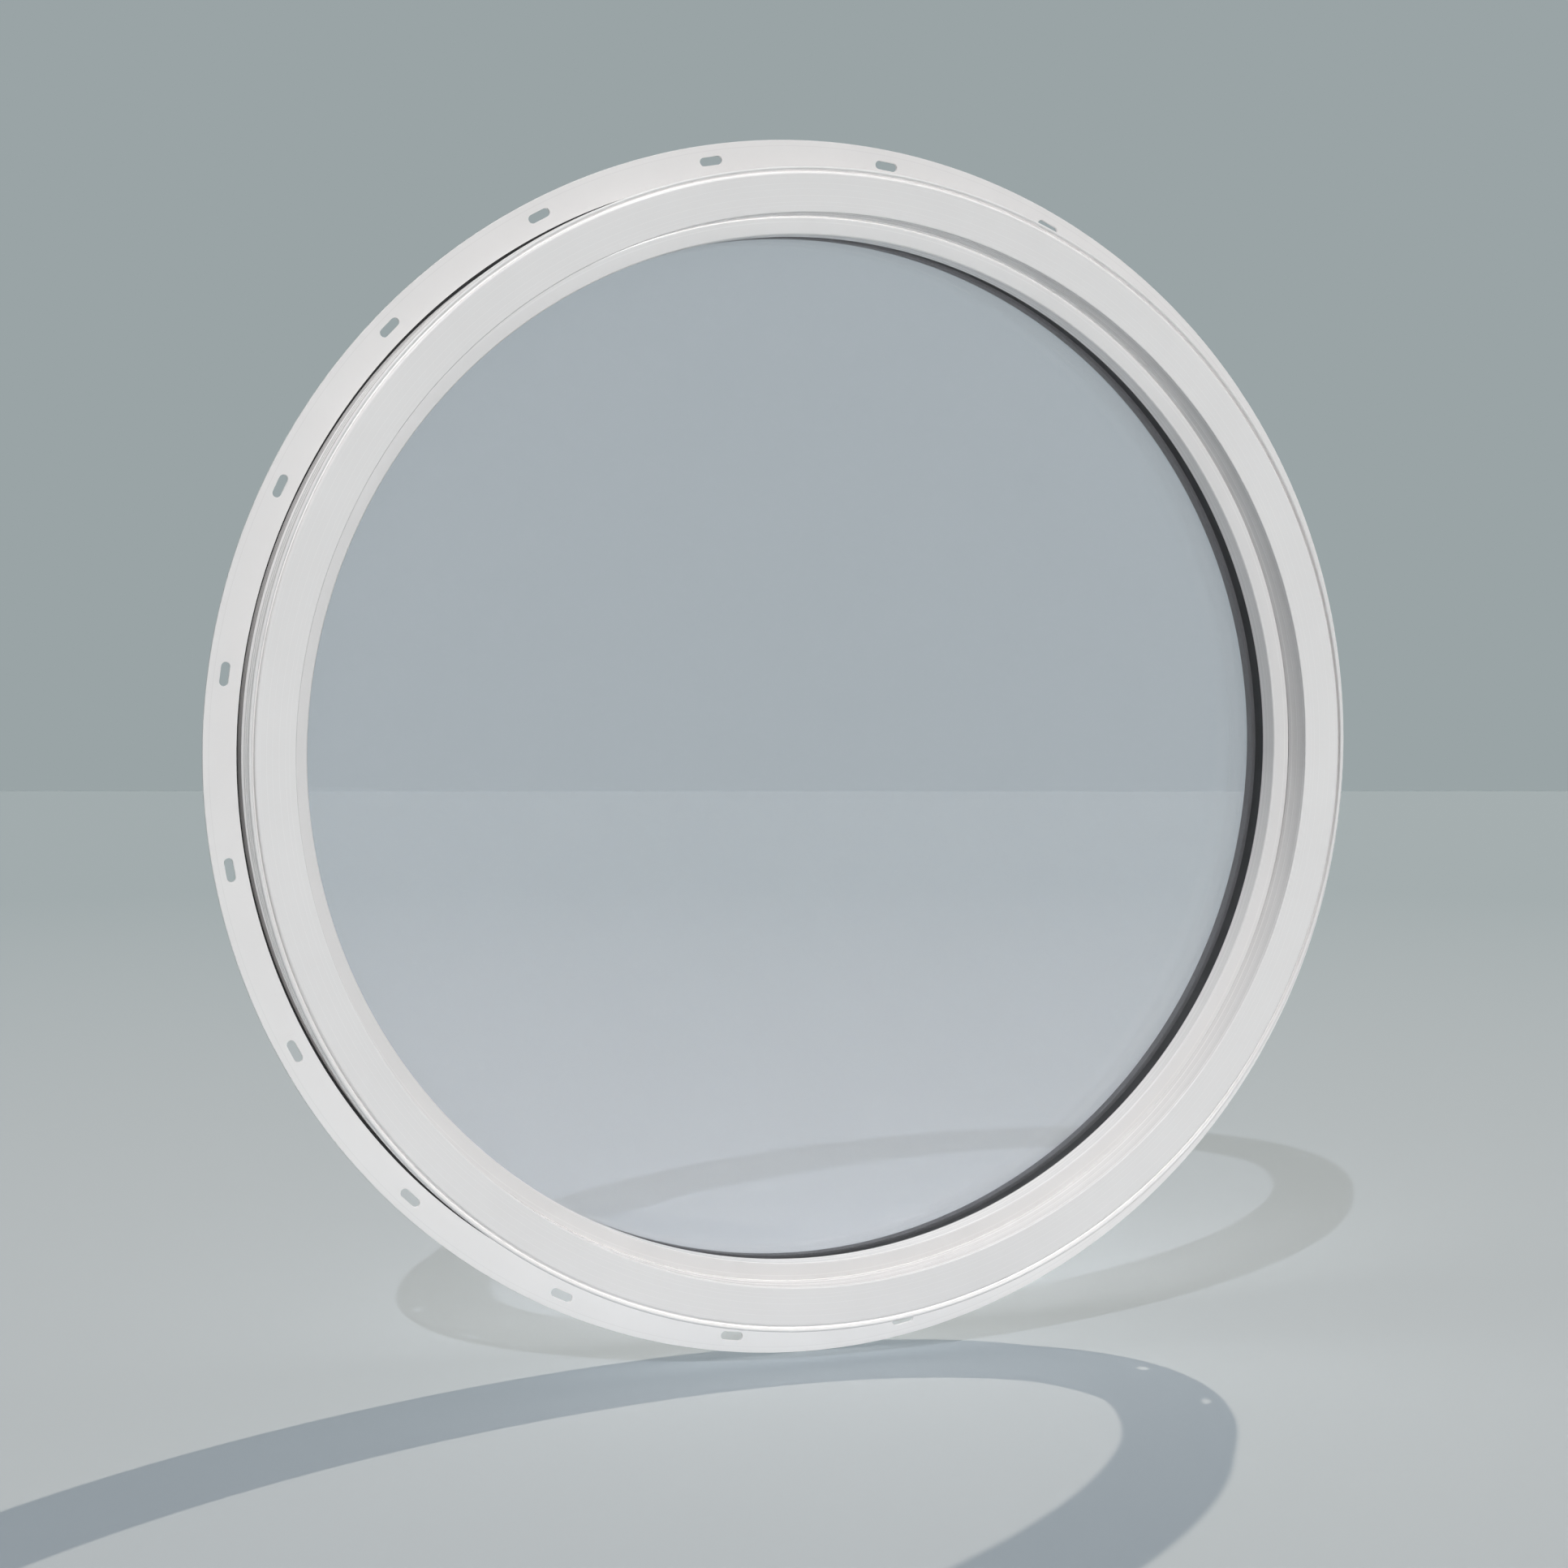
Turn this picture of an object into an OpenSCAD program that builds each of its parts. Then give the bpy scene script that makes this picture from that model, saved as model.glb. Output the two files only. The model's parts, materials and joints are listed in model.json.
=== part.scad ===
// Round fixed window with a nailing fin.
// A bent hollow PVC frame carries a sealed double glazing unit behind a clip-in bead.
// The axis is Y, the front looks along -Y, and Y = 0 is the wall plane behind the nailing fin.

/* [Nailing fin] */
// Outside diameter of the fin
fin_od = 800; // [600:10:1200]
// Width of the fin's flange
fin_w = 21; // [17:0.5:40]
// Thickness of the flange
fin_t = 2; // [1.5:0.1:3]
// Number of nail slots
slot_count = 20; // [8:1:28]
// Length of a nail slot, end to end
slot_l = 15.2; // [10:0.2:25]
// Width of a nail slot
slot_w = 5.6; // [4:0.2:7]
// Distance from the fin's edge to the slots' centre line
slot_inset = 10.5; // [7:0.5:12]
// Angle of the first slot above the horizontal
slot_angle = 10; // [0:1:17]
// Thickness of the leg that stands behind the flange
fin_leg_t = 1.5; // [1.2:0.1:2.5]
// Thickness of the tongue that clips into the frame
tongue_t = 1.8; // [1.2:0.1:2.5]
// Depth of the tongue inside the frame's kerf
tongue_grip = 4.4; // [2:0.2:6]
// Gap between the fin and the frame's side
fin_gap = 3; // [2:0.1:6]
// Depth of that gap, from the wall plane to the foam seal
gap_depth = 10.5; // [6:0.5:16]
// Thickness of the foam seal
fin_seal_t = 2; // [1:0.5:4]

/* [Frame] */
// Setback of the wall plane from the frame's front
setback = 40; // [36:1:70]
// Width of the frame, from its opening to its side in the wall
frame_w = 27; // [24:0.5:60]
// Wall of the PVC extrusion
wall = 2.3; // [1.8:0.1:2.8]
// Radius of the front face's outer edge
face_edge_r = 1.6; // [0.5:0.1:2]
// Radius of the frame's other front edges
edge_r = 0.8; // [0.3:0.1:1.5]
// Width of the groove beside the front face
groove_w = 1.4; // [1:0.1:3]
// Depth of that groove
groove_d = 4; // [2.5:0.5:6]
// Width of the rounded lip outside the groove
lip_w = 2.2; // [1.6:0.1:3]
// Radial gap between the lip and the fin
lip_gap = 0.6; // [0.3:0.1:2]
// Number of fine grooves along the side behind the lip
flute_count = 2; // [1:1:3]
// Spacing of those grooves
flute_pitch = 6; // [4:0.5:6]
// Depth of those grooves
flute_d = 1.2; // [0.5:0.1:1.4]
// Depth of the recess between the grooves and the fin, below the side in the wall
recess_d = 2.1; // [1:0.1:3]
// Thickness of the inner leg that the glass rests against
leg_d = 11; // [6:0.5:25]
// Width of the inner leg, from the rebate's floor to its edge
leg_w = 8.6; // [6:0.2:14]
// Slope of the inner leg's edge
leg_splay = 6; // [0:0.5:6]
// Depth of the glazing rebate below the opening
rebate_d = 2; // [1:0.5:4]

/* [Glazing bead and gasket] */
// Setback of the bead from the frame's front
bead_setback = 23.5; // [12:0.5:26]
// Width of the step between the opening and the bead's inner edge
bead_step = 11.6; // [8:0.2:20]
// Depth of the bead
bead_d = 16.1; // [12:0.1:24]
// Wall of the bead
bead_wall = 1.8; // [1.2:0.1:2.5]
// Height of the barb that holds the bead
barb_h = 1.8; // [1:0.1:2]
// Width of the barb
barb_w = 3; // [2:0.1:4]
// Distance from the bead's back to the barb
barb_inset = 2.4; // [1:0.1:4]
// Joint between the bead and the frame
bead_joint = 0.3; // [0.1:0.05:0.5]
// Depth of the gasket, from the bead to the glass
gasket_d = 16.4; // [6:0.2:24]
// Setback of the gasket from the bead's inner edge
gasket_set = 2.5; // [0:0.1:4]
// Wall of the gasket
gasket_wall = 2; // [1.2:0.1:2.5]

/* [Glazing unit] */
// Thickness of each pane
pane_t = 3; // [3:0.5:6]
// Space between the panes
pane_space = 8; // [6:0.5:16]
// Clearance round the panes' edge, inside the opening
pane_clear = 1.5; // [0.5:0.1:2]
// Radius of the ground edge of a pane
pane_edge = 0.4; // [0.1:0.1:0.8]
// Thickness of each butyl seal
butyl_t = 0.3; // [0.2:0.1:0.6]
// How far the spacer bar stands in from the gasket
spacer_show = 1.3; // [0:0.1:3]
// Height of the spacer bar
spacer_h = 6.4; // [5:0.1:7]
// Wall of the spacer bar
spacer_wall = 0.6; // [0.4:0.1:1]
// Joint between the spacer bar's ends
spacer_joint = 0.4; // [0.2:0.1:1]
// Length of the key that joins those ends
key_l = 60; // [30:5:100]
// Play of the key and the fill inside the bar
key_play = 0.15; // [0.05:0.05:0.3]
// Thickness of the glazing tape
tape_t = 3; // [2:0.5:6]
// Setback of the tape from the inner leg's edge
tape_set = 0.5; // [0:0.1:2]
// Length of a glazing block
block_l = 60; // [30:5:100]
// Angle of the setting blocks from the window's foot
block_angle = 24; // [10:1:40]

/* [Fits] */
// Play between clipped PVC profiles
clip_play = 0.1; // [0.05:0.05:0.2]
// Play round the foam seal, the glazing blocks and the back of the spacer bar
soft_play = 0.05; // [0.02:0.01:0.1]

/* [Hidden] */
$fn = 180;
arc_steps = 6;

// Radii, from the fin inwards
fin_r = fin_od / 2;
fin_in_r = fin_r - fin_w;
seat_r = fin_in_r - fin_gap;
recess_r = seat_r - recess_d;
lip_r = fin_in_r - lip_gap;
groove_out_r = lip_r - lip_w;
face_r = groove_out_r - groove_w;
open_r = seat_r - frame_w;
rebate_r = open_r + rebate_d;
bead_r = open_r - bead_step;
gasket_r = bead_r + gasket_set;
spacer_r = gasket_r - spacer_show;
spacer_back_r = spacer_r + spacer_h;
pane_r = open_r - pane_clear;
leg_r = rebate_r - leg_w;
kerf_r = seat_r - tongue_grip - clip_play;

// Depths, from the front backwards
front_y = -setback;
fin_front_y = -fin_t;
bead_y = front_y + bead_setback;
bead_back_y = bead_y + bead_d;
outer_pane_y = bead_back_y + gasket_d;
space_y = outer_pane_y + pane_t;
inner_pane_y = space_y + pane_space;
tape_y = inner_pane_y + pane_t;
leg_y = tape_y + tape_t;
back_y = leg_y + leg_d;
seal_y = gap_depth;
tongue_y = seal_y + fin_seal_t;
tongue_back_y = tongue_y + tongue_t;
barb_back_y = bead_back_y - barb_inset;
barb_y = barb_back_y - barb_w;

// The side's fine grooves start one pitch behind the front, and the recess one pitch behind the last of them
flute_end_y = front_y + flute_pitch * (flute_count + 1) - flute_d;

// Room that the frame leaves round the fin's tongue and the bead's barb
kerf_y = tongue_y - clip_play;
kerf_back_y = tongue_back_y + clip_play;
notch_r = open_r + barb_h + clip_play;
notch_y = barb_y - clip_play;
notch_back_y = barb_back_y + clip_play;

pvc_white = [0.93, 0.93, 0.92];
rubber_black = [0.08, 0.08, 0.08];
glass_clear = [0.75, 0.85, 0.88, 0.35];
fill_grey = [0.6, 0.58, 0.54];

function arc(centre, r, from, to) =
    [for (i = [0 : arc_steps]) let (a = from + (to - from) * i / arc_steps) centre + r * [cos(a), sin(a)]];

function flute(y) = [[lip_r, y - flute_d], [lip_r - flute_d, y], [lip_r, y + flute_d]];

// Turns a section, drawn as radius and depth, into a ring about the window's axis
module ring() {
    rotate([-90, 0, 0]) rotate_extrude() children();
}

// The same for a length of the ring about an angle, counted from +X towards +Z
module ring_piece(angle, span) {
    rotate([-90, 0, 0]) rotate([0, 0, -angle - span / 2]) rotate_extrude(angle = span) children();
}

// A rectangle of a section, between two radii and two depths
module band(r1, r2, y1, y2) {
    translate([r1, y1]) square([r2 - r1, y2 - y1]);
}

module frame_outline() {
    polygon(concat(
        arc([open_r + edge_r, front_y + edge_r], edge_r, 180, 270),
        arc([face_r - face_edge_r, front_y + face_edge_r], face_edge_r, 270, 360),
        arc([face_r + groove_w / 2, front_y + groove_d - groove_w / 2], groove_w / 2, 180, 0),
        arc([lip_r - lip_w / 2, front_y + lip_w / 2], lip_w / 2, 180, 360),
        [for (i = [1 : flute_count]) each flute(front_y + flute_pitch * i)],
        [
            [lip_r, flute_end_y],
            [recess_r, flute_end_y + lip_r - recess_r],
            [recess_r, fin_front_y - recess_d],
            [seat_r, fin_front_y],
        ],
        arc([seat_r - edge_r, back_y - edge_r], edge_r, 0, 90),
        [
            [leg_r + leg_splay, back_y],
            [leg_r, leg_y],
            [rebate_r, leg_y],
            [rebate_r, bead_back_y],
            [open_r, bead_back_y],
        ]));
}

// Three hollow chambers, parted by the webs at the bead's notch and at the fin's kerf
module frame_chambers() {
    chamber_r = recess_r - wall;
    band(open_r + wall, min(chamber_r, face_r - wall), front_y + wall, notch_y - wall);
    band(notch_r + wall, chamber_r, notch_y, kerf_y - wall);
    band(rebate_r + wall, seat_r - wall, kerf_back_y + wall, back_y - wall);
}

module frame() {
    color(pvc_white) ring() difference() {
        frame_outline();
        frame_chambers();
        band(kerf_r, seat_r + wall, kerf_y, kerf_back_y);
        band(open_r - wall, notch_r, notch_y, notch_back_y);
    }
}

module nail_slot() {
    straight = slot_l - slot_w;
    rotate([-90, 0, 0]) translate([0, 0, -2 * fin_t]) linear_extrude(3 * fin_t) {
        square([slot_w, straight], center = true);
        for (end = [-1, 1]) translate([0, end * straight / 2]) circle(d = slot_w);
    }
}

module nailing_fin() {
    color(pvc_white) difference() {
        ring() {
            band(fin_in_r, fin_r, fin_front_y, 0);
            band(fin_in_r, fin_in_r + fin_leg_t, 0, tongue_back_y);
            band(seat_r - tongue_grip, fin_in_r, tongue_y, tongue_back_y);
        }
        for (i = [0 : slot_count - 1])
            rotate([0, -slot_angle - 360 * i / slot_count, 0])
                translate([fin_r - slot_inset, 0, 0]) nail_slot();
    }
}

module fin_seal() {
    color(rubber_black) ring() band(seat_r + soft_play, fin_in_r - soft_play, seal_y, tongue_y);
}

module glazing_bead() {
    out_r = open_r - bead_joint;
    color(pvc_white) ring() difference() {
        polygon(concat(
            arc([bead_r + edge_r, bead_y + edge_r], edge_r, 180, 270),
            arc([out_r - edge_r, bead_y + edge_r], edge_r, 270, 360),
            [
                [out_r, barb_y],
                [open_r + barb_h, barb_back_y],
                [out_r, barb_back_y],
                [out_r, bead_back_y],
                [bead_r, bead_back_y],
            ]));
        band(bead_r + bead_wall, out_r - bead_wall, bead_y + bead_wall, bead_back_y - bead_wall);
    }
}

module glazing_gasket() {
    color(rubber_black) ring() difference() {
        band(gasket_r, pane_r, bead_back_y, outer_pane_y);
        band(gasket_r + gasket_wall, pane_r - gasket_wall, bead_back_y + gasket_wall, outer_pane_y - gasket_wall);
    }
}

module pane(y) {
    color(glass_clear) ring() polygon([
        [0, y], [pane_r - pane_edge, y], [pane_r, y + pane_edge],
        [pane_r, y + pane_t - pane_edge], [pane_r - pane_edge, y + pane_t], [0, y + pane_t],
    ]);
}

module outer_pane() {
    pane(outer_pane_y);
}

module inner_pane() {
    pane(inner_pane_y);
}

// A rectangle of the spacer's section, drawn in by an inset from its outside
module spacer_band(inset) {
    band(
        spacer_r + inset, spacer_back_r - inset,
        space_y + butyl_t + inset, inner_pane_y - butyl_t - inset);
}

// The angle that a length takes up along the spacer
function spacer_angle(length) = length / spacer_r * 180 / PI;

module spacer_bar() {
    color(rubber_black) ring_piece(-90, 360 - spacer_angle(spacer_joint)) difference() {
        spacer_band(0);
        spacer_band(spacer_wall);
    }
}

module spacer_key() {
    color("silver") ring_piece(90, spacer_angle(key_l)) spacer_band(spacer_wall + key_play);
}

module desiccant() {
    color(fill_grey) ring_piece(-90, 360 - spacer_angle(key_l + 2 * key_play)) spacer_band(spacer_wall + key_play);
}

module butyl_seal(y) {
    color(rubber_black) ring() band(spacer_r + spacer_wall, spacer_back_r, y, y + butyl_t);
}

module outer_butyl() {
    butyl_seal(space_y);
}

module inner_butyl() {
    butyl_seal(inner_pane_y - butyl_t);
}

module edge_seal() {
    color(rubber_black) ring() band(spacer_back_r + soft_play, pane_r - pane_edge, space_y, inner_pane_y);
}

module glazing_tape() {
    color(rubber_black) ring() band(leg_r + tape_set, pane_r - pane_edge, tape_y, leg_y);
}

// A block that fills the rebate under the panes' edge
module glazing_block(angle) {
    span = block_l / rebate_r * 180 / PI;
    ring_piece(angle, span) band(pane_r + soft_play, rebate_r - soft_play, outer_pane_y, tape_y);
}

module setting_blocks() {
    color(fill_grey) for (side = [-1, 1]) glazing_block(270 + side * block_angle);
}

module locating_blocks() {
    color(fill_grey) for (angle = [0, 90, 180]) glazing_block(angle);
}

frame();
nailing_fin();
fin_seal();
glazing_bead();
glazing_gasket();
outer_pane();
inner_pane();
spacer_bar();
spacer_key();
desiccant();
outer_butyl();
inner_butyl();
edge_seal();
glazing_tape();
setting_blocks();
locating_blocks();
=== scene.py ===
import json
import math

import bmesh
import bpy
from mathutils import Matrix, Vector

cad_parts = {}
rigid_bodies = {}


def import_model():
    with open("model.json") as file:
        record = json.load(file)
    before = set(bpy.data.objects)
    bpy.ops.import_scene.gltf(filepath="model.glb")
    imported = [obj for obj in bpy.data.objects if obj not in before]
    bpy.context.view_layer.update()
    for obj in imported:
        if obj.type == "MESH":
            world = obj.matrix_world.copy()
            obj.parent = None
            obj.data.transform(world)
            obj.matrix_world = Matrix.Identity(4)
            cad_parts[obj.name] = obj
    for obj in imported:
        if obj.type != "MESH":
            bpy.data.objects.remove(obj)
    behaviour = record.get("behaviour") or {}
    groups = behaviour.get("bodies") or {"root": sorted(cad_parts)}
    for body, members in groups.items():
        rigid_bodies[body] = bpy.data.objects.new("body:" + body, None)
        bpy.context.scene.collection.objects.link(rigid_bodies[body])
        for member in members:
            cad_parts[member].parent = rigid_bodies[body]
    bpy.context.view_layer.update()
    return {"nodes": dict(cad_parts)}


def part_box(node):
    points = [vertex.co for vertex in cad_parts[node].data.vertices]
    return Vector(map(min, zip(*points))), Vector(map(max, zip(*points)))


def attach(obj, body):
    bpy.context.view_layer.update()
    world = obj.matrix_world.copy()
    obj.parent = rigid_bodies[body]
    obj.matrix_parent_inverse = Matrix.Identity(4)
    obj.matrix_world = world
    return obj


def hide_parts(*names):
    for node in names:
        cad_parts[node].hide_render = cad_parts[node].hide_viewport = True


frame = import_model()

# Frame ring
# A hollow white PVC extrusion, bent hot into a circle and welded end to end. Its front face ends in a groove
# and a rounded lip, its inside holds the glass, and a kerf in its side takes the nailing fin.
MM = 0.001
SEGMENTS = 360
sharp_corner = math.radians(32)
frame_low, frame_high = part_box("frame")
front_y, back_y = frame_low.y, frame_high.y
fin_front_y, tongue_back_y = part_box("nailing_fin")[0].y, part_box("nailing_fin")[1].y
bead_back_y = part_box("glazing_bead")[1].y
leg_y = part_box("glazing_tape")[1].y
lip_r = frame_high.x
lip_w = 2.2 * MM
groove_w, groove_d = 1.4 * MM, 4 * MM
face_r = lip_r - lip_w - groove_w
face_edge, edge = 1.6 * MM, 0.8 * MM
flute_count, flute_pitch, flute_d = 2, 6 * MM, 1.2 * MM
flute_end_y = front_y + flute_pitch * (flute_count + 1) - flute_d
lip_over, recess_d = 2.4 * MM, 2.1 * MM
seat_r = lip_r - lip_over
recess_r = seat_r - recess_d
frame_w, wall = 27 * MM, 2.3 * MM
open_r = seat_r - frame_w
rebate_d, leg_w, leg_splay = 2 * MM, 8.6 * MM, 6 * MM
rebate_r = open_r + rebate_d
leg_r = rebate_r - leg_w
clip_play = 0.1 * MM
tongue_t, tongue_grip = 1.8 * MM, 4.4 * MM
kerf_r = seat_r - tongue_grip - clip_play
kerf_y, kerf_back_y = tongue_back_y - tongue_t - clip_play, tongue_back_y + clip_play
barb_h, barb_w, barb_inset = 1.8 * MM, 3 * MM, 2.4 * MM
barb_back_y = bead_back_y - barb_inset
notch_r = open_r + barb_h + clip_play
notch_y, notch_back_y = barb_back_y - barb_w - clip_play, barb_back_y + clip_play


def arc(centre, radius, start, end, steps=8):
    """Points along an arc of a section, which is drawn as radius and depth.
    Angles run from outwards to the back."""
    angles = [math.radians(start + (end - start) * i / steps) for i in range(steps + 1)]
    return [(centre[0] + radius * math.cos(a), centre[1] + radius * math.sin(a)) for a in angles]


def box_section(r1, r2, y1, y2):
    """A plain rectangle of a section, between two radii and two depths."""
    return [(r1, y1), (r2, y1), (r2, y2), (r1, y2)]


def circle_points(section, angle):
    """A section's points, turned about the window's axis to an angle counted from +X towards +Z."""
    return [(r * math.cos(angle), y, r * math.sin(angle)) for r, y in section]


def turned(outline, hollows=(), open_spans=()):
    """Points and faces of a full ring with this outline and these hollow chambers inside it.
    The outline runs outwards along its front. Its open spans get no faces."""
    points, faces = [], []
    for section in (outline, *[hollow[::-1] for hollow in hollows]):
        first, size = len(points), len(section)
        for k in range(SEGMENTS):
            points += circle_points(section, 2 * math.pi * k / SEGMENTS)
        for k in range(SEGMENTS):
            here, there = first + k * size, first + (k + 1) % SEGMENTS * size
            for i in range(size):
                j = (i + 1) % size
                if section is not outline or i not in open_spans:
                    faces.append((here + i, here + j, there + j, there + i))
    return points, faces


def new_piece(name, points, faces):
    """A piece of the window from its points and faces."""
    mesh = bpy.data.meshes.new(name)
    mesh.from_pydata(points, [], faces)
    return smooth_piece(name, mesh)


def smooth_piece(name, mesh):
    """Puts a mesh into the scene, smooth but for its sharp corners."""
    mesh.shade_smooth()
    mesh.set_sharp_from_angle(angle=sharp_corner)
    piece = bpy.data.objects.new(name, mesh)
    bpy.context.scene.collection.objects.link(piece)
    piece.modifiers.new("even_normals", "WEIGHTED_NORMAL").keep_sharp = True
    return piece


def add(tree, kind, inputs=None, **settings):
    """Adds a shader node. Each input is a value, or an output of another node to link."""
    node = tree.nodes.new(kind)
    for name, value in settings.items():
        setattr(node, name, value)
    for name, value in (inputs or {}).items():
        if isinstance(value, bpy.types.NodeSocket):
            tree.links.new(value, node.inputs[name])
        else:
            node.inputs[name].default_value = value
    return node


def new_material(name):
    """An empty material and its node tree."""
    material = bpy.data.materials.new(name)
    material.use_nodes = True
    material.node_tree.nodes.clear()
    return material, material.node_tree


def place_in(tree):
    """The place on the window, in metres."""
    return add(tree, "ShaderNodeTexCoord").outputs["Object"]


def place_in_section(tree):
    """The place across a ring's section, as radius and depth in metres, the same all along the ring."""
    xyz = add(tree, "ShaderNodeSeparateXYZ", {0: place_in(tree)}).outputs
    across = add(tree, "ShaderNodeCombineXYZ", {"X": xyz["X"], "Z": xyz["Z"]}).outputs[0]
    radius = add(tree, "ShaderNodeVectorMath", {0: across}, operation="LENGTH").outputs["Value"]
    return add(tree, "ShaderNodeCombineXYZ", {"X": radius, "Y": xyz["Y"]}).outputs[0]


noise_low, noise_high = 0.3, 0.7


def noise(tree, place, per_metre, detail=2.0):
    """A soft noise, which lies mostly between noise_low and noise_high."""
    inputs = {"Vector": place, "Scale": per_metre, "Detail": detail}
    return add(tree, "ShaderNodeTexNoise", inputs).outputs["Fac"]


def between(tree, factor, low, high):
    """A number that follows a noise between two values."""
    limits = {"Value": factor, "From Min": noise_low, "From Max": noise_high, "To Min": low, "To Max": high}
    return add(tree, "ShaderNodeMapRange", limits).outputs[0]


def shade(tree, factor, dark, light):
    """A colour that follows a noise between two close shades."""
    ramp = add(tree, "ShaderNodeValToRGB", {"Fac": factor})
    stops = zip(ramp.color_ramp.elements, (noise_low, noise_high), (dark, light))
    for element, position, colour in stops:
        element.position = position
        element.color = (*colour, 1)
    return ramp.outputs["Color"]


def bump(tree, height, depth, strength, under=None):
    """A relief of that depth in metres, laid over another."""
    inputs = {"Height": height, "Distance": depth, "Strength": strength}
    if under is not None:
        inputs["Normal"] = under
    return add(tree, "ShaderNodeBump", inputs).outputs[0]


def finish_with(tree, shader):
    """Makes a shader the surface of its material."""
    add(tree, "ShaderNodeOutputMaterial", {"Surface": shader.outputs[0]})


pvc_dark, pvc_light = (0.750, 0.737, 0.733), (0.775, 0.762, 0.758)


def extruded_pvc(name, smooth, dull):
    """White PVC with faint die lines along the profile, a slight cloudiness and a satin skin."""
    material, tree = new_material(name)
    cloud = noise(tree, place_in(tree), per_metre=11.0, detail=3.0)
    lines = noise(tree, place_in_section(tree), per_metre=850.0)
    skin = noise(tree, place_in(tree), per_metre=420.0)
    die_lines = bump(tree, lines, depth=0.08 * MM, strength=0.18)
    relief = bump(tree, skin, depth=0.06 * MM, strength=0.12, under=die_lines)
    finish_with(tree, add(tree, "ShaderNodeBsdfPrincipled", {
        "Base Color": shade(tree, cloud, pvc_dark, pvc_light),
        "Roughness": between(tree, lines, smooth, dull),
        "Normal": relief,
        "IOR": 1.53,
    }))
    return material


frame_outline = (
    arc((open_r + edge, front_y + edge), edge, 180, 270)
    + arc((face_r - face_edge, front_y + face_edge), face_edge, 270, 360)
    + arc((face_r + groove_w / 2, front_y + groove_d - groove_w / 2), groove_w / 2, 180, 0)
    + arc((lip_r - lip_w / 2, front_y + lip_w / 2), lip_w / 2, 180, 360, steps=16)
)
for i in range(1, flute_count + 1):
    flute_y = front_y + flute_pitch * i
    frame_outline += [(lip_r, flute_y - flute_d), (lip_r - flute_d, flute_y), (lip_r, flute_y + flute_d)]
frame_outline += [
    (lip_r, flute_end_y), (recess_r, flute_end_y + lip_r - recess_r),
    (recess_r, fin_front_y - recess_d), (seat_r, fin_front_y),
    (seat_r, kerf_y), (kerf_r, kerf_y), (kerf_r, kerf_back_y), (seat_r, kerf_back_y),
]
frame_outline += arc((seat_r - edge, back_y - edge), edge, 0, 90)
frame_outline += [
    (leg_r + leg_splay, back_y), (leg_r, leg_y), (rebate_r, leg_y),
    (rebate_r, bead_back_y), (open_r, bead_back_y), (open_r, notch_back_y),
    (notch_r, notch_back_y), (notch_r, notch_y), (open_r, notch_y),
]
frame_chambers = [
    box_section(open_r + wall, recess_r - wall, front_y + wall, notch_y - wall),
    box_section(notch_r + wall, recess_r - wall, notch_y, kerf_y - wall),
    box_section(rebate_r + wall, seat_r - wall, kerf_back_y + wall, back_y - wall),
]
frame_ring = new_piece("frame_ring", *turned(frame_outline, frame_chambers))
frame_ring.data.materials.append(extruded_pvc("frame_white", smooth=0.20, dull=0.30))
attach(frame_ring, "root")
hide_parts("frame")

# Nailing fin
# A thin white PVC angle, bent round the frame and pressed into its kerf. The flange lies on the wall's face,
# and punched slots all round it take the nails.
fin_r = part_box("nailing_fin")[1].x
fin_w, fin_leg_t, fin_edge, fin_edge_steps = 21 * MM, 1.5 * MM, 0.3 * MM, 4
fin_in_r = fin_r - fin_w
fin_leg_r = fin_in_r + fin_leg_t
tongue_r = seat_r - tongue_grip
tongue_y = tongue_back_y - tongue_t
slot_count, slot_angle, slot_inset = 20, 10, 10.5 * MM
slot_l, slot_w, slot_edge = 15.2 * MM, 5.6 * MM, 0.2 * MM
slot_steps = 10


def slot_outline(middle, y, grow):
    """Points round a slot with round ends at an angle on the fin, widened by grow, at one depth."""
    out = Vector((math.cos(middle), 0, math.sin(middle)))
    along = Vector((-math.sin(middle), 0, math.cos(middle)))
    round_r, half = slot_w / 2 + grow, (slot_l - slot_w) / 2
    points = []
    for end in (1, -1):
        for i in range(slot_steps + 1):
            a = math.pi * i / slot_steps
            away, beside = end * (half + round_r * math.sin(a)), end * round_r * math.cos(a)
            points.append(out * (fin_r - slot_inset + beside) + along * away + Vector((0, y, 0)))
    return points


def loop_edges(mesh, loop):
    """The edges along a closed loop of points, made where they are missing."""
    pairs = zip(loop, loop[1:] + loop[:1])
    return [mesh.edges.get(pair) or mesh.edges.new(pair) for pair in pairs]


fin_outline = [
    (fin_in_r, fin_front_y),
    *arc((fin_r - fin_edge, fin_front_y + fin_edge), fin_edge, 270, 360, fin_edge_steps),
    *arc((fin_r - fin_edge, -fin_edge), fin_edge, 0, 90, fin_edge_steps),
    (fin_leg_r, 0), (fin_leg_r, tongue_back_y),
    (tongue_r, tongue_back_y), (tongue_r, tongue_y), (fin_in_r, tongue_y),
]
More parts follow.
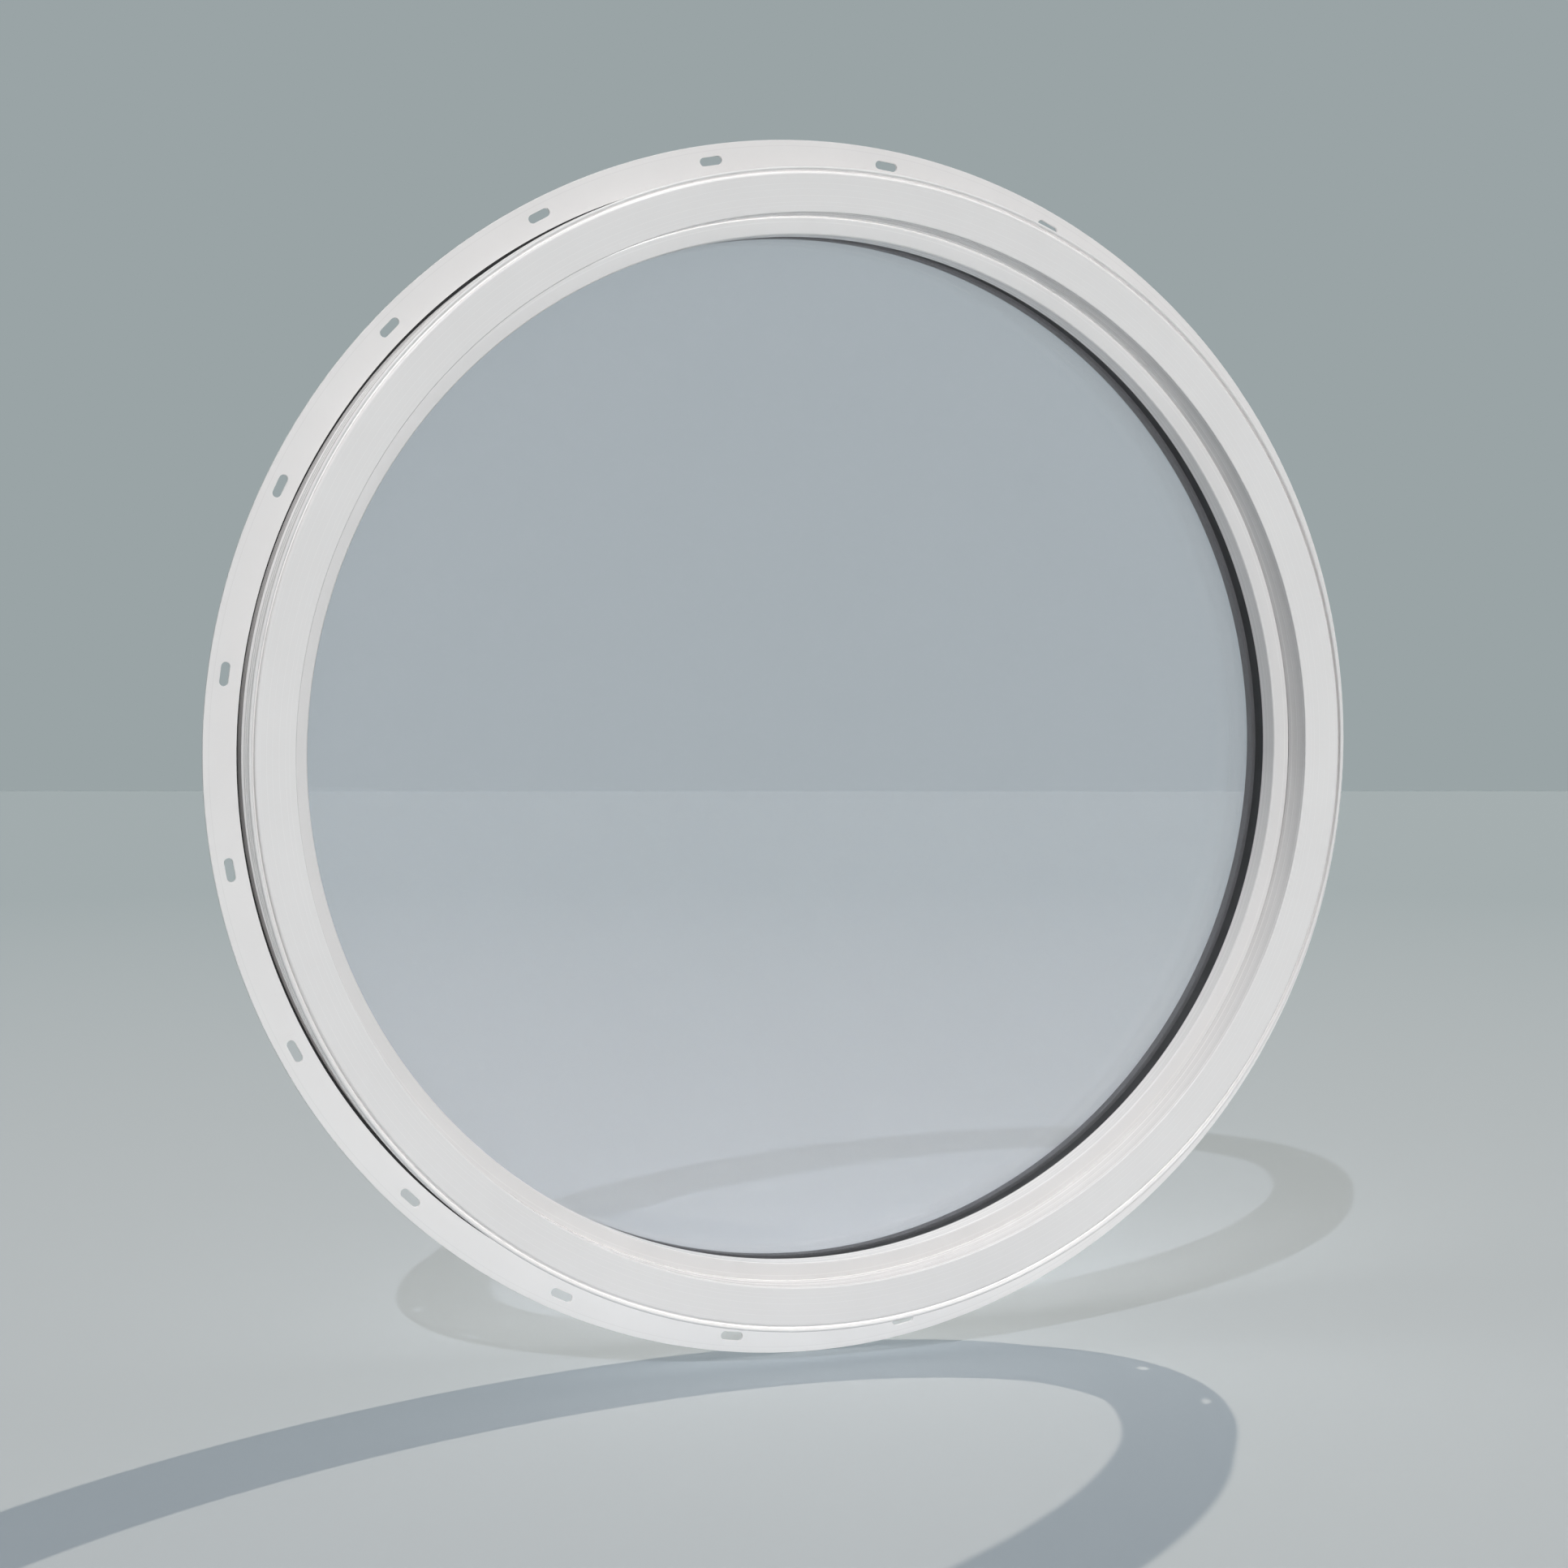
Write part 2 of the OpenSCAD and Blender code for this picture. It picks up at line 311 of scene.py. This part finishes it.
# The flange's two flat faces stay open at first, and are then filled round the slots.
front_span, back_span = 0, 2 * (fin_edge_steps + 1)
fin_points, fin_faces = turned(fin_outline, open_spans=(front_span, back_span))
fin_mesh = bmesh.new()
fin_corners = [fin_mesh.verts.new(point) for point in fin_points]
for face in fin_faces:
    fin_mesh.faces.new([fin_corners[i] for i in face])
flange_edges = {span: [] for span in (front_span, back_span)}
for span, edges in flange_edges.items():
    for side in (span, span + 1):
        edges += loop_edges(fin_mesh, fin_corners[side::len(fin_outline)])
slot_levels = [(fin_front_y, slot_edge), (fin_front_y + slot_edge, 0), (-slot_edge, 0), (0, slot_edge)]
for k in range(slot_count):
    middle = math.radians(slot_angle + 360 / slot_count * k)
    rims = [[fin_mesh.verts.new(p) for p in slot_outline(middle, y, grow)] for y, grow in slot_levels]
    for rim, next_rim in zip(rims, rims[1:]):
        for i in range(len(rim)):
            fin_mesh.faces.new((rim[i - 1], rim[i], next_rim[i], next_rim[i - 1]))
    flange_edges[front_span] += loop_edges(fin_mesh, rims[0])
    flange_edges[back_span] += loop_edges(fin_mesh, rims[-1])
for edges in flange_edges.values():
    bmesh.ops.triangle_fill(fin_mesh, use_beauty=True, edges=edges, normal=(0, -1, 0))
bmesh.ops.recalc_face_normals(fin_mesh, faces=fin_mesh.faces)
fin_data = bpy.data.meshes.new("nailing_fin_ring")
fin_mesh.to_mesh(fin_data)
fin_mesh.free()
nailing_fin = smooth_piece("nailing_fin_ring", fin_data)
nailing_fin.data.materials.append(extruded_pvc("fin_white", smooth=0.26, dull=0.36))
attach(nailing_fin, "root")
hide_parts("nailing_fin")

# Fin seal
# A strip of black closed-cell foam, squeezed into the bottom of the gap between the fin and the frame.
# It keeps water from running behind the fin.
seal_low, seal_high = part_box("fin_seal")
soft_play = 0.05 * MM


def black_foam(name, cells_per_metre):
    """Closed-cell foam: dull black, with small round cells at its skin."""
    material, tree = new_material(name)
    pattern = add(tree, "ShaderNodeTexVoronoi", {"Vector": place_in(tree), "Scale": cells_per_metre})
    cells = pattern.outputs["Distance"]
    finish_with(tree, add(tree, "ShaderNodeBsdfPrincipled", {
        "Base Color": shade(tree, cells, (0.012, 0.012, 0.013), (0.030, 0.030, 0.031)),
        "Roughness": between(tree, cells, 0.75, 0.95),
        "Normal": bump(tree, cells, depth=0.25 * MM, strength=0.7),
        "Specular IOR Level": 0.3,
    }))
    return material


fin_seal = new_piece("fin_seal_strip", *turned(
    box_section(seat_r + soft_play, seal_high.x, seal_low.y, seal_high.y)))
fin_seal.data.materials.append(black_foam("fin_seal_foam", cells_per_metre=1300.0))
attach(fin_seal, "root")
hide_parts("fin_seal")

# Glazing tape
# Self-adhesive black foam tape, laid on the frame's inner leg from behind the glass.
# The sealed unit is bedded on it.
tape_low, tape_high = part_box("glazing_tape")
tape_set = 0.5 * MM
glazing_tape = new_piece("glazing_tape_ring", *turned(
    box_section(leg_r + tape_set, tape_high.x, tape_low.y, tape_high.y)))
glazing_tape.data.materials.append(black_foam("tape_foam", cells_per_metre=1700.0))
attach(glazing_tape, "root")
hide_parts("glazing_tape")

# Setting and locating blocks
# Short packers of grey moulded plastic, pushed into the rebate round the glass.
# Two carry it near the foot, and three keep it central.
block_plastic, tree = new_material("packer_plastic")
speckle = noise(tree, place_in(tree), per_metre=900.0, detail=3.0)
finish_with(tree, add(tree, "ShaderNodeBsdfPrincipled", {
    "Base Color": shade(tree, speckle, (0.19, 0.19, 0.20), (0.23, 0.23, 0.24)),
    "Roughness": between(tree, speckle, 0.45, 0.6),
    "Normal": bump(tree, speckle, depth=0.1 * MM, strength=0.3),
}))
for name in ("setting_blocks", "locating_blocks"):
    frame["nodes"][name].data.materials[0] = block_plastic

# Spacer bar
# A thin black-coated tube, bent into a ring that keeps the two panes apart. Its ends are joined at the top.
# The filling inside it keeps the space between the panes dry.
spacer_low, spacer_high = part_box("spacer_bar")
spacer_back_r = spacer_high.z
spacer_h, spacer_wall, spacer_joint = 6.4 * MM, 0.6 * MM, 0.4 * MM
spacer_r = spacer_back_r - spacer_h


def open_tube(outline, bore, first, sweep):
    """Points and faces of a tube that is bent through part of a ring, with both ends open."""
    points, faces, size = [], [], len(outline)
    for k in range(SEGMENTS + 1):
        points += circle_points(outline + bore, first + sweep * k / SEGMENTS)
    for k in range(SEGMENTS):
        here, there = 2 * size * k, 2 * size * (k + 1)
        for i in range(size):
            j = (i + 1) % size
            faces.append((here + i, here + j, there + j, there + i))
            faces.append((here + size + j, here + size + i, there + size + i, there + size + j))
    for i in range(size):
        j = (i + 1) % size
        last = 2 * size * SEGMENTS
        faces.append((i, size + i, size + j, j))
        faces.append((last + i, last + j, last + size + j, last + size + i))
    return points, faces


def coated_black():
    """A fine-grained black coating."""
    material, tree = new_material("spacer_black")
    grain = noise(tree, place_in(tree), per_metre=1500.0)
    coat = between(tree, grain, 0.55, 0.75)
    finish_with(tree, add(tree, "ShaderNodeBsdfPrincipled", {
        "Base Color": shade(tree, coat, (0.008, 0.008, 0.009), (0.058, 0.059, 0.064)),
        "Roughness": between(tree, grain, 0.42, 0.55),
    }))
    return material


joint_angle = spacer_joint / spacer_r
spacer_bar = new_piece("spacer_bar_ring", *open_tube(
    box_section(spacer_r, spacer_back_r, spacer_low.y, spacer_high.y),
    box_section(spacer_r + spacer_wall, spacer_back_r - spacer_wall,
                spacer_low.y + spacer_wall, spacer_high.y - spacer_wall),
    math.pi / 2 + joint_angle / 2, 2 * math.pi - joint_angle))
spacer_bar.data.materials.append(coated_black())
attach(spacer_bar, "root")
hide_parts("spacer_bar")

# Spacer key
# A small key of pressed aluminium, pushed into both ends of the spacer bar to join them.
key_metal, tree = new_material("pressed_aluminium")
brushed = noise(tree, place_in_section(tree), per_metre=2400.0)
finish_with(tree, add(tree, "ShaderNodeBsdfPrincipled", {
    "Base Color": shade(tree, brushed, (0.66, 0.66, 0.67), (0.74, 0.74, 0.75)),
    "Metallic": 1.0,
    "Roughness": between(tree, brushed, 0.32, 0.48),
    "Normal": bump(tree, brushed, depth=0.05 * MM, strength=0.3),
}))
frame["nodes"]["spacer_key"].data.materials[0] = key_metal

# Desiccant
# Loose beads of molecular sieve that fill the spacer bar and take up moisture.


def math_node(tree, operation, first, second):
    """What a Math node makes of two values or outputs."""
    return add(tree, "ShaderNodeMath", {0: first, 1: second}, operation=operation).outputs[0]


bead_fill, tree = new_material("sieve_beads")
beads_per_metre = 700.0
beads = add(tree, "ShaderNodeTexVoronoi", {"Vector": place_in(tree), "Scale": beads_per_metre})
# Each bead's colour is light in its middle and darker towards the gaps between the beads: painted shade
# between the beads over the beads' own brown.
rounded = math_node(tree, "SUBTRACT", 1.0, beads.outputs["Distance"])
finish_with(tree, add(tree, "ShaderNodeBsdfPrincipled", {
    "Base Color": shade(tree, rounded, (0.24, 0.21, 0.18), (0.42, 0.39, 0.34)),
    "Roughness": between(tree, rounded, 0.8, 0.95),
    "Normal": bump(tree, rounded, depth=0.6 * MM, strength=0.9),
}))
frame["nodes"]["desiccant"].data.materials[0] = bead_fill

# Butyl seals and edge seal
# Two thin lines of black butyl stick the spacer bar to the panes.
# A bead of black sealant, trowelled in round the edge, closes the unit.


def black_sealant(name, dark, light, wave_per_metre, smooth, dull):
    """Soft black sealant with a slightly wavy, half-gloss skin."""
    material, tree = new_material(name)
    wave = noise(tree, place_in(tree), wave_per_metre)
    finish_with(tree, add(tree, "ShaderNodeBsdfPrincipled", {
        "Base Color": shade(tree, wave, dark, light),
        "Roughness": between(tree, wave, smooth, dull),
        "Normal": bump(tree, wave, depth=0.3 * MM, strength=0.4),
    }))
    return material


butyl = black_sealant(
    "butyl_black", dark=(0.050, 0.051, 0.055), light=(0.064, 0.065, 0.070),
    wave_per_metre=240.0, smooth=0.35, dull=0.5)
for name in ("outer_butyl", "inner_butyl"):
    low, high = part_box(name)
    seal = new_piece(name + "_line", *turned(box_section(spacer_r + spacer_wall, high.x, low.y, high.y)))
    seal.data.materials.append(butyl)
    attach(seal, "root")
    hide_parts(name)
frame["nodes"]["edge_seal"].data.materials[0] = black_sealant(
    "edge_seal_black", dark=(0.010, 0.010, 0.011), light=(0.022, 0.022, 0.023),
    wave_per_metre=320.0, smooth=0.4, dull=0.6)

# Glass panes
# Two discs of clear float glass with ground edges, sealed to both sides of the spacer bar.
pane_edge = 0.4 * MM
glass_tint, shadow_tint = (0.97, 0.975, 1.0, 1), (0.985, 0.985, 0.99, 1)


def clear_glass():
    """Clear glass with a hint of unevenness, which lets the lamps' light through."""
    material, tree = new_material("float_glass")
    waviness = noise(tree, place_in(tree), per_metre=7.0, detail=1.0)
    glass = add(tree, "ShaderNodeBsdfPrincipled", {
        "Base Color": glass_tint,
        "Transmission Weight": 0.965,
        "Roughness": 0.0,
        "IOR": 1.52,
        "Specular IOR Level": 0.2,
        "Normal": bump(tree, waviness, depth=0.4 * MM, strength=0.02),
    })
    clear = add(tree, "ShaderNodeBsdfTransparent", {"Color": shadow_tint})
    shadow = add(tree, "ShaderNodeLightPath").outputs["Is Shadow Ray"]
    finish_with(tree, add(tree, "ShaderNodeMixShader", {
        0: shadow,
        1: glass.outputs[0],
        2: clear.outputs[0],
    }))
    return material


def glass_disc(low, high):
    """Points and faces of a pane, with a small ground bevel round both edges."""
    r, rim = high.x, high.x - pane_edge
    section = [(rim, low.y), (r, low.y + pane_edge), (r, high.y - pane_edge), (rim, high.y)]
    size = len(section)
    points, faces = turned(section, open_spans=(size - 1,))
    front = list(range(0, len(points), size))
    back = list(range(size - 1, len(points), size))
    return points, faces + [front, back[::-1]]


float_glass = clear_glass()
for name in ("outer_pane", "inner_pane"):
    pane = new_piece(name + "_disc", *glass_disc(*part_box(name)))
    pane.data.materials.append(float_glass)
    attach(pane, "root")
    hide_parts(name)

# Glazing gasket
# A hollow black EPDM rubber section, run round the front of the glass and held down by the bead.
gasket_low, gasket_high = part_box("glazing_gasket")
bead_w, gasket_set, gasket_wall = 11.6 * MM, 2.5 * MM, 2 * MM
gasket_edge, gasket_edge_steps = 0.5 * MM, 4
bead_r = open_r - bead_w
gasket_r = bead_r + gasket_set

rubber, tree = new_material("epdm_black")
ribs = noise(tree, place_in_section(tree), per_metre=900.0)
bloom = noise(tree, place_in(tree), per_metre=60.0, detail=4.0)
finish_with(tree, add(tree, "ShaderNodeBsdfPrincipled", {
    "Base Color": shade(tree, bloom, (0.016, 0.016, 0.017), (0.026, 0.026, 0.028)),
    "Roughness": between(tree, ribs, 0.48, 0.62),
    "Normal": bump(tree, ribs, depth=0.15 * MM, strength=0.4),
}))
gasket_outline = [
    *arc((gasket_r + gasket_edge, gasket_low.y + gasket_edge), gasket_edge, 180, 270, gasket_edge_steps),
    (gasket_high.x, gasket_low.y), (gasket_high.x, gasket_high.y),
    *arc((gasket_r + gasket_edge, gasket_high.y - gasket_edge), gasket_edge, 90, 180, gasket_edge_steps),
]
glazing_gasket = new_piece("glazing_gasket_ring", *turned(gasket_outline, [box_section(
    gasket_r + gasket_wall, gasket_high.x - gasket_wall,
    gasket_low.y + gasket_wall, gasket_high.y - gasket_wall)]))
glazing_gasket.data.materials.append(rubber)
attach(glazing_gasket, "root")
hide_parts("glazing_gasket")

# Glazing bead
# A second hollow ring of extruded white PVC. The barb along its edge snaps into a notch in the frame.
# It holds the gasket and the glass in place.
bead_low, bead_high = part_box("glazing_bead")
bead_joint, bead_wall = 0.3 * MM, 1.8 * MM
bead_out_r = open_r - bead_joint
bead_outline = (
    arc((bead_r + edge, bead_low.y + edge), edge, 180, 270)
    + arc((bead_out_r - edge, bead_low.y + edge), edge, 270, 360)
    + [
        (bead_out_r, barb_back_y - barb_w), (bead_high.x, barb_back_y), (bead_out_r, barb_back_y),
        (bead_out_r, bead_high.y), (bead_r, bead_high.y),
    ]
)
glazing_bead = new_piece("glazing_bead_ring", *turned(bead_outline, [box_section(
    bead_r + bead_wall, bead_out_r - bead_wall, bead_low.y + bead_wall, bead_high.y - bead_wall)]))
glazing_bead.data.materials.append(extruded_pvc("bead_white", smooth=0.20, dull=0.30))
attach(glazing_bead, "root")
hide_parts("glazing_bead")

# Studio floor
# A plain pale floor with eight sides, on which the window stands by the edge of its fin.
# It gets a little darker with distance, which is a painted falloff of the light: lighter near the window.
floor_reach, floor_sides, floor_turn = 6.48, 8, math.radians(70.15)
# Painted light falloff: the floor's colour goes from floor_near by the window to floor_far further away.
floor_near, floor_far = (0.465, 0.495, 0.505), (0.352, 0.402, 0.413)
fade_from, fade_to = -2.0, 6.0
floor_z = -fin_r
side_turn = math.pi / floor_sides
floor_r = floor_reach / math.cos(side_turn)
floor_angles = [floor_turn + side_turn * (2 * k + 1) for k in range(floor_sides)]
floor_points = [(floor_r * math.cos(a), floor_r * math.sin(a), floor_z) for a in floor_angles]
floor_mesh = bpy.data.meshes.new("studio_floor")
floor_mesh.from_pydata(floor_points, [], [range(floor_sides)])
floor = bpy.data.objects.new("studio_floor", floor_mesh)
bpy.context.scene.collection.objects.link(floor)
floor_paint, tree = new_material("floor_paint")
away = add(tree, "ShaderNodeVectorMath", {0: place_in(tree)}, operation="LENGTH").outputs["Value"]
fade_limits = {"Value": away, "From Min": fade_from, "From Max": fade_to}
fade = add(tree, "ShaderNodeMapRange", fade_limits).outputs[0]
finish_with(tree, add(tree, "ShaderNodeBsdfPrincipled", {
    "Base Color": shade(tree, fade, floor_near, floor_far),
    "Roughness": 0.9,
    "Specular IOR Level": 0.1,
}))
floor.data.materials.append(floor_paint)

# Studio light
# Far lamps light the window evenly, as in a catalogue picture. Only the one behind it makes shadows on it.
# Three more light the floor, and two of these throw the window's shadows on it.
backdrop = (0.323, 0.371, 0.381, 1)
all_round = (0.09, 0.09, 0.09, 1)
above, front_left, front = (0.0, -0.30, 0.95), (-0.389, -0.646, 0.657), (0.1, -1.0, 0.0)
below_left, overhead = (-0.22, -0.85, -0.45), (0, 0, 1)
behind, back_right = (0.30, 0.94, 0.15), (0.463, 0.605, 0.648)
cool_fill, cool_light, warm_light = (0.843, 0.93, 1.0), (0.873, 0.90, 1.0), (1.0, 0.884, 0.755)
lit_window = bpy.data.collections.new("lit_window")
lit_floor = bpy.data.collections.new("lit_floor")
for piece in bpy.context.scene.objects:
    if piece.type == "MESH":
        (lit_floor if piece == floor else lit_window).objects.link(piece)
lit_bead = bpy.data.collections.new("lit_bead")
lit_bead.objects.link(glazing_bead)
lit_but_bead = bpy.data.collections.new("lit_but_bead")
for piece in lit_window.objects:
    if piece != glazing_bead:
        lit_but_bead.objects.link(piece)


def far_lamp(name, lit, towards, level, colour=(1, 1, 1), spread=0.0,
             shadows=False, gloss=True, diffuse=True):
    """A far lamp for some of the pieces. Level is what a white surface that faces it sends back.
    Spread is the lamp's apparent size in degrees."""
    data = bpy.data.lights.new(name, "SUN")
    data.energy = level * math.pi
    data.color = colour
    data.angle = math.radians(spread)
    data.use_shadow = shadows
    lamp = bpy.data.objects.new(name, data)
    lamp.rotation_euler = Vector(towards).to_track_quat("Z", "Y").to_euler()
    lamp.visible_transmission = False
    lamp.visible_glossy = gloss
    lamp.visible_diffuse = diffuse
    lamp.light_linking.receiver_collection = lit
    bpy.context.scene.collection.objects.link(lamp)


far_lamp("top_lamp", lit_window, above, level=0.64, gloss=False)
far_lamp("edge_lamp", lit_window, above, level=0.18, diffuse=False)
far_lamp("left_lamp", lit_window, front_left, level=0.22)
far_lamp("front_lamp", lit_but_bead, front, level=0.335, gloss=False)
far_lamp("bead_lamp", lit_bead, below_left, level=0.27, gloss=False)
far_lamp("bead_top_lamp", lit_bead, overhead, level=0.12, gloss=False)
far_lamp("rear_lamp", lit_window, behind, level=0.40, spread=4, shadows=True, gloss=False)
far_lamp("floor_fill", lit_floor, overhead, level=0.43, colour=cool_fill)
far_lamp("front_left_lamp", lit_floor, front_left, level=0.267, colour=cool_light, spread=0.5, shadows=True)
far_lamp("back_right_lamp", lit_floor, back_right, level=0.58, colour=warm_light, spread=0.5, shadows=True)

world = bpy.data.worlds.new("studio")
bpy.context.scene.world = world
world.use_nodes = True
tree = world.node_tree
tree.nodes.clear()
path = add(tree, "ShaderNodeLightPath").outputs
# The camera, gloss and glass see the backdrop. Light that any surface has scattered finds the weaker fill.
seen = math_node(tree, "MAXIMUM", path["Is Camera Ray"], path["Is Glossy Ray"])
seen = math_node(tree, "MAXIMUM", seen, path["Is Transmission Ray"])
unscattered = math_node(tree, "LESS_THAN", path["Diffuse Depth"], 0.5)
seen = math_node(tree, "MULTIPLY", seen, unscattered)
fill = add(tree, "ShaderNodeBackground", {"Color": all_round})
shown = add(tree, "ShaderNodeBackground", {"Color": backdrop})
mixed = add(tree, "ShaderNodeMixShader", {0: seen, 1: fill.outputs[0], 2: shown.outputs[0]})
add(tree, "ShaderNodeOutputWorld", {"Surface": mixed.outputs[0]})
bpy.context.scene.view_settings.view_transform = "Standard"
# The light tree loses lamps that light only some of the pieces.
bpy.context.scene.cycles.use_light_tree = False

# Camera
# It stands to the left of the window and a little above its middle, and looks slightly down.
camera_data = bpy.data.cameras.new("camera")
camera_data.lens, camera_data.sensor_width = 75.0, 36.0
camera_place = (-0.74718, -2.02305, 0.09834)
look_down, look_right = 3.1749, 19.8515
camera = bpy.data.objects.new("camera", camera_data)
camera.location = camera_place
camera.rotation_euler = (math.radians(90 - look_down), 0, math.radians(-look_right))
bpy.context.scene.collection.objects.link(camera)
bpy.context.scene.camera = camera
